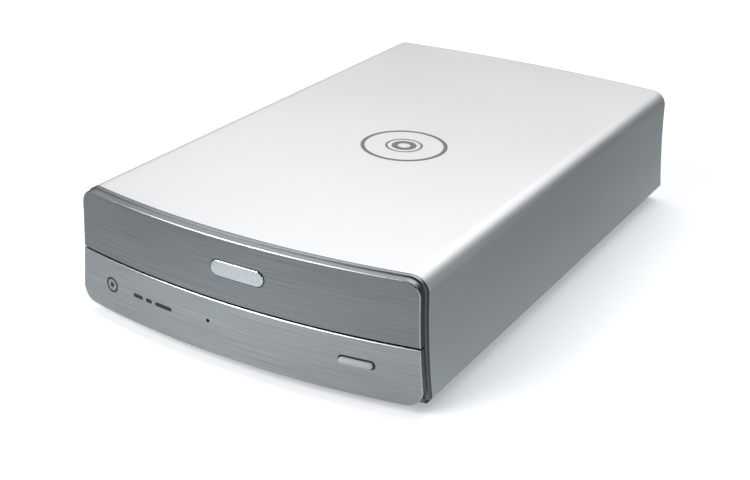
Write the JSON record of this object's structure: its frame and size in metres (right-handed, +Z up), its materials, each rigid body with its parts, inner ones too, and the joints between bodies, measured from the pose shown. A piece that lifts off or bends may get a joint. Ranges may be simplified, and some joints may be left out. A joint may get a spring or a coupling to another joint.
{
  "type": "external optical drive",
  "caption": "Desktop tray-loading optical disc drive in a silver case with bowed brushed fronts, an eject button, and power and USB sockets at the rear.",
  "frame": {"origin": "middle of the footprint, on the surface that the rubber feet stand on", "axes": "+Z up, -Y the way the tray opens, +Y towards the sockets, X across the front"},
  "size_m": [0.1642, 0.273, 0.056],
  "materials": {
    "silver_paint": "fine silver metallic paint, satin",
    "dark_plastic": "moulded black plastic, fine texture",
    "front_carrier": "silver painted plastic, satin",
    "brushed_face": "horizontally brushed, bright bevelled edge",
    "polished_trim": "polished",
    "button_silver": "silver painted, satin",
    "rubber_black": "matt",
    "screw_steel": "zinc plated",
    "sheet_steel": "galvanised sheet",
    "frame_plastic": "moulded dark grey plastic",
    "gear_plastic": "natural acetal",
    "board_green": "solder-masked circuit board",
    "chip_black": "moulded epoxy",
    "cable_red": "flat lead jacket",
    "cable_yellow": "lead jacket",
    "usb_blue": "moulded contact carrier",
    "lens_glass": "coated objective lens",
    "copper_coil": "enamelled copper windings"
  },
  "bodies": {
    "housing": {"top_cover": "silver_paint", "base_pan": "dark_plastic", "lower_front_bezel": "front_carrier", "lower_front_plate": "brushed_face", "tray_slot_frame": "dark_plastic", "rear_panel": "dark_plastic", "rubber_feet": "rubber_black", "cover_screws": "screw_steel", "bezel_screws": "screw_steel", "drive_screws": "screw_steel", "drive_bottom_cover": "sheet_steel", "drive_top_cover": "sheet_steel", "loader_frame": "frame_plastic", "clamp_bridge": "sheet_steel", "main_board": "board_green", "main_board_parts": "chip_black", "drive_socket": "chip_black", "loading_motor": "sheet_steel", "drive_belt": "rubber_black", "front_board": "board_green", "front_board_screws": "screw_steel", "tact_switch": "chip_black", "bridge_board": "board_green", "bridge_board_parts": "chip_black", "bridge_board_screws": "screw_steel", "board_headers": "chip_black", "usb_socket_shell": "sheet_steel", "usb_socket_tongue": "usb_blue", "dc_jack_body": "dark_plastic", "dc_jack_pin": "polished_trim", "rocker_switch_body": "dark_plastic", "sata_plugs": "dark_plastic", "data_cable": "cable_red", "power_cable": "cable_yellow"},
    "disc_tray": {"disc_tray": "dark_plastic", "tray_front_panel": "front_carrier", "upper_front_plate": "brushed_face", "front_badge": "polished_trim"},
    "eject_button": {"eject_button": "button_silver", "switch_plunger": "gear_plastic"},
    "motor_rotor": {"motor_shaft": "polished_trim", "motor_pulley": "gear_plastic"},
    "pulley_gear": {"pulley_gear": "gear_plastic"},
    "tray_pinion": {"tray_pinion": "gear_plastic"},
    "cam_slider": {"cam_slider": "gear_plastic"},
    "traverse": {"traverse_deck": "sheet_steel", "guide_rods": "polished_trim", "spindle_stator": "copper_coil", "sled_motor": "sheet_steel"},
    "spindle": {"spindle_rotor": "polished_trim", "turntable": "dark_plastic"},
    "pickup": {"optical_pickup": "frame_plastic"},
    "lens": {"lens_holder": "dark_plastic", "objective_lens": "lens_glass"},
    "lead_screw": {"lead_screw": "polished_trim"},
    "clamp": {"clamp_puck": "gear_plastic", "clamp_yoke": "sheet_steel"},
    "power_rocker": {"power_rocker": "dark_plastic"}
  },
  "joints": [
    {"name": "tray_slide", "type": "slide", "parent": "housing", "child": "disc_tray", "axis": [0, -1, 0], "range_m": [0, 0.14]},
    {"name": "pinion_spin", "type": "hinge", "parent": "housing", "child": "tray_pinion", "pos_m": [-0.038, -0.1, 0.029], "axis": [0, 0, 1], "range_deg": [0, 668.5]},
    {"name": "pulley_spin", "type": "hinge", "parent": "housing", "child": "pulley_gear", "pos_m": [-0.02, -0.1, 0.029], "axis": [0, 0, -1], "range_deg": [0, 1336.95]},
    {"name": "motor_spin", "type": "hinge", "parent": "housing", "child": "motor_rotor", "pos_m": [0.02, -0.1, 0.025], "axis": [0, 0, -1], "range_deg": [0, 4891.72]},
    {"name": "button_press", "type": "slide", "parent": "housing", "child": "eject_button", "axis": [0, 1, 0], "range_m": [0, 0.0006], "stiffness_N_per_m": 800, "springref_m": -0.0004},
    {"name": "cam_slide", "type": "slide", "parent": "housing", "child": "cam_slider", "axis": [1, 0, 0], "range_m": [0, 0.024]},
    {"name": "traverse_lift", "type": "hinge", "parent": "housing", "child": "traverse", "pos_m": [0, 0.038, 0.021], "axis": [-1, 0, 0], "range_deg": [0, 4.6]},
    {"name": "disc_spin", "type": "hinge", "parent": "traverse", "child": "spindle", "pos_m": [0, -0.05801, 0.01729], "axis": [0, -0.0802, 0.9968], "continuous": true},
    {"name": "pickup_slide", "type": "slide", "parent": "traverse", "child": "pickup", "axis": [0, 0.9968, 0.0802], "range_m": [0, 0.035]},
    {"name": "lead_screw_spin", "type": "hinge", "parent": "traverse", "child": "lead_screw", "pos_m": [0.041, -0.00028, 0.02294], "axis": [0, 0.9968, 0.0802], "range_deg": [0, 4200.05]},
    {"name": "lens_focus", "type": "slide", "parent": "pickup", "child": "lens", "axis": [0, -0.0802, 0.9968], "range_m": [-0.0004, 0.0004], "stiffness_N_per_m": 100},
    {"name": "clamp_spin", "type": "hinge", "parent": "housing", "child": "clamp", "pos_m": [0, -0.058, 0.042], "axis": [0, 0, 1], "continuous": true},
    {"name": "power_rock", "type": "hinge", "parent": "housing", "child": "power_rocker", "pos_m": [0.045, 0.126, 0.0265], "axis": [1, 0, 0], "range_deg": [0, 16]}
  ],
  "couplings": [
    {"joint": "pinion_spin", "follows": "tray_slide", "rad_per_m": 83.333},
    {"joint": "pulley_spin", "follows": "tray_slide", "rad_per_m": 166.67},
    {"joint": "motor_spin", "follows": "tray_slide", "rad_per_m": 609.83},
    {"joint": "traverse_lift", "follows": "cam_slide", "rad_per_m": 3.3452},
    {"joint": "lead_screw_spin", "follows": "pickup_slide", "rad_per_m": 2094.4}
  ]
}
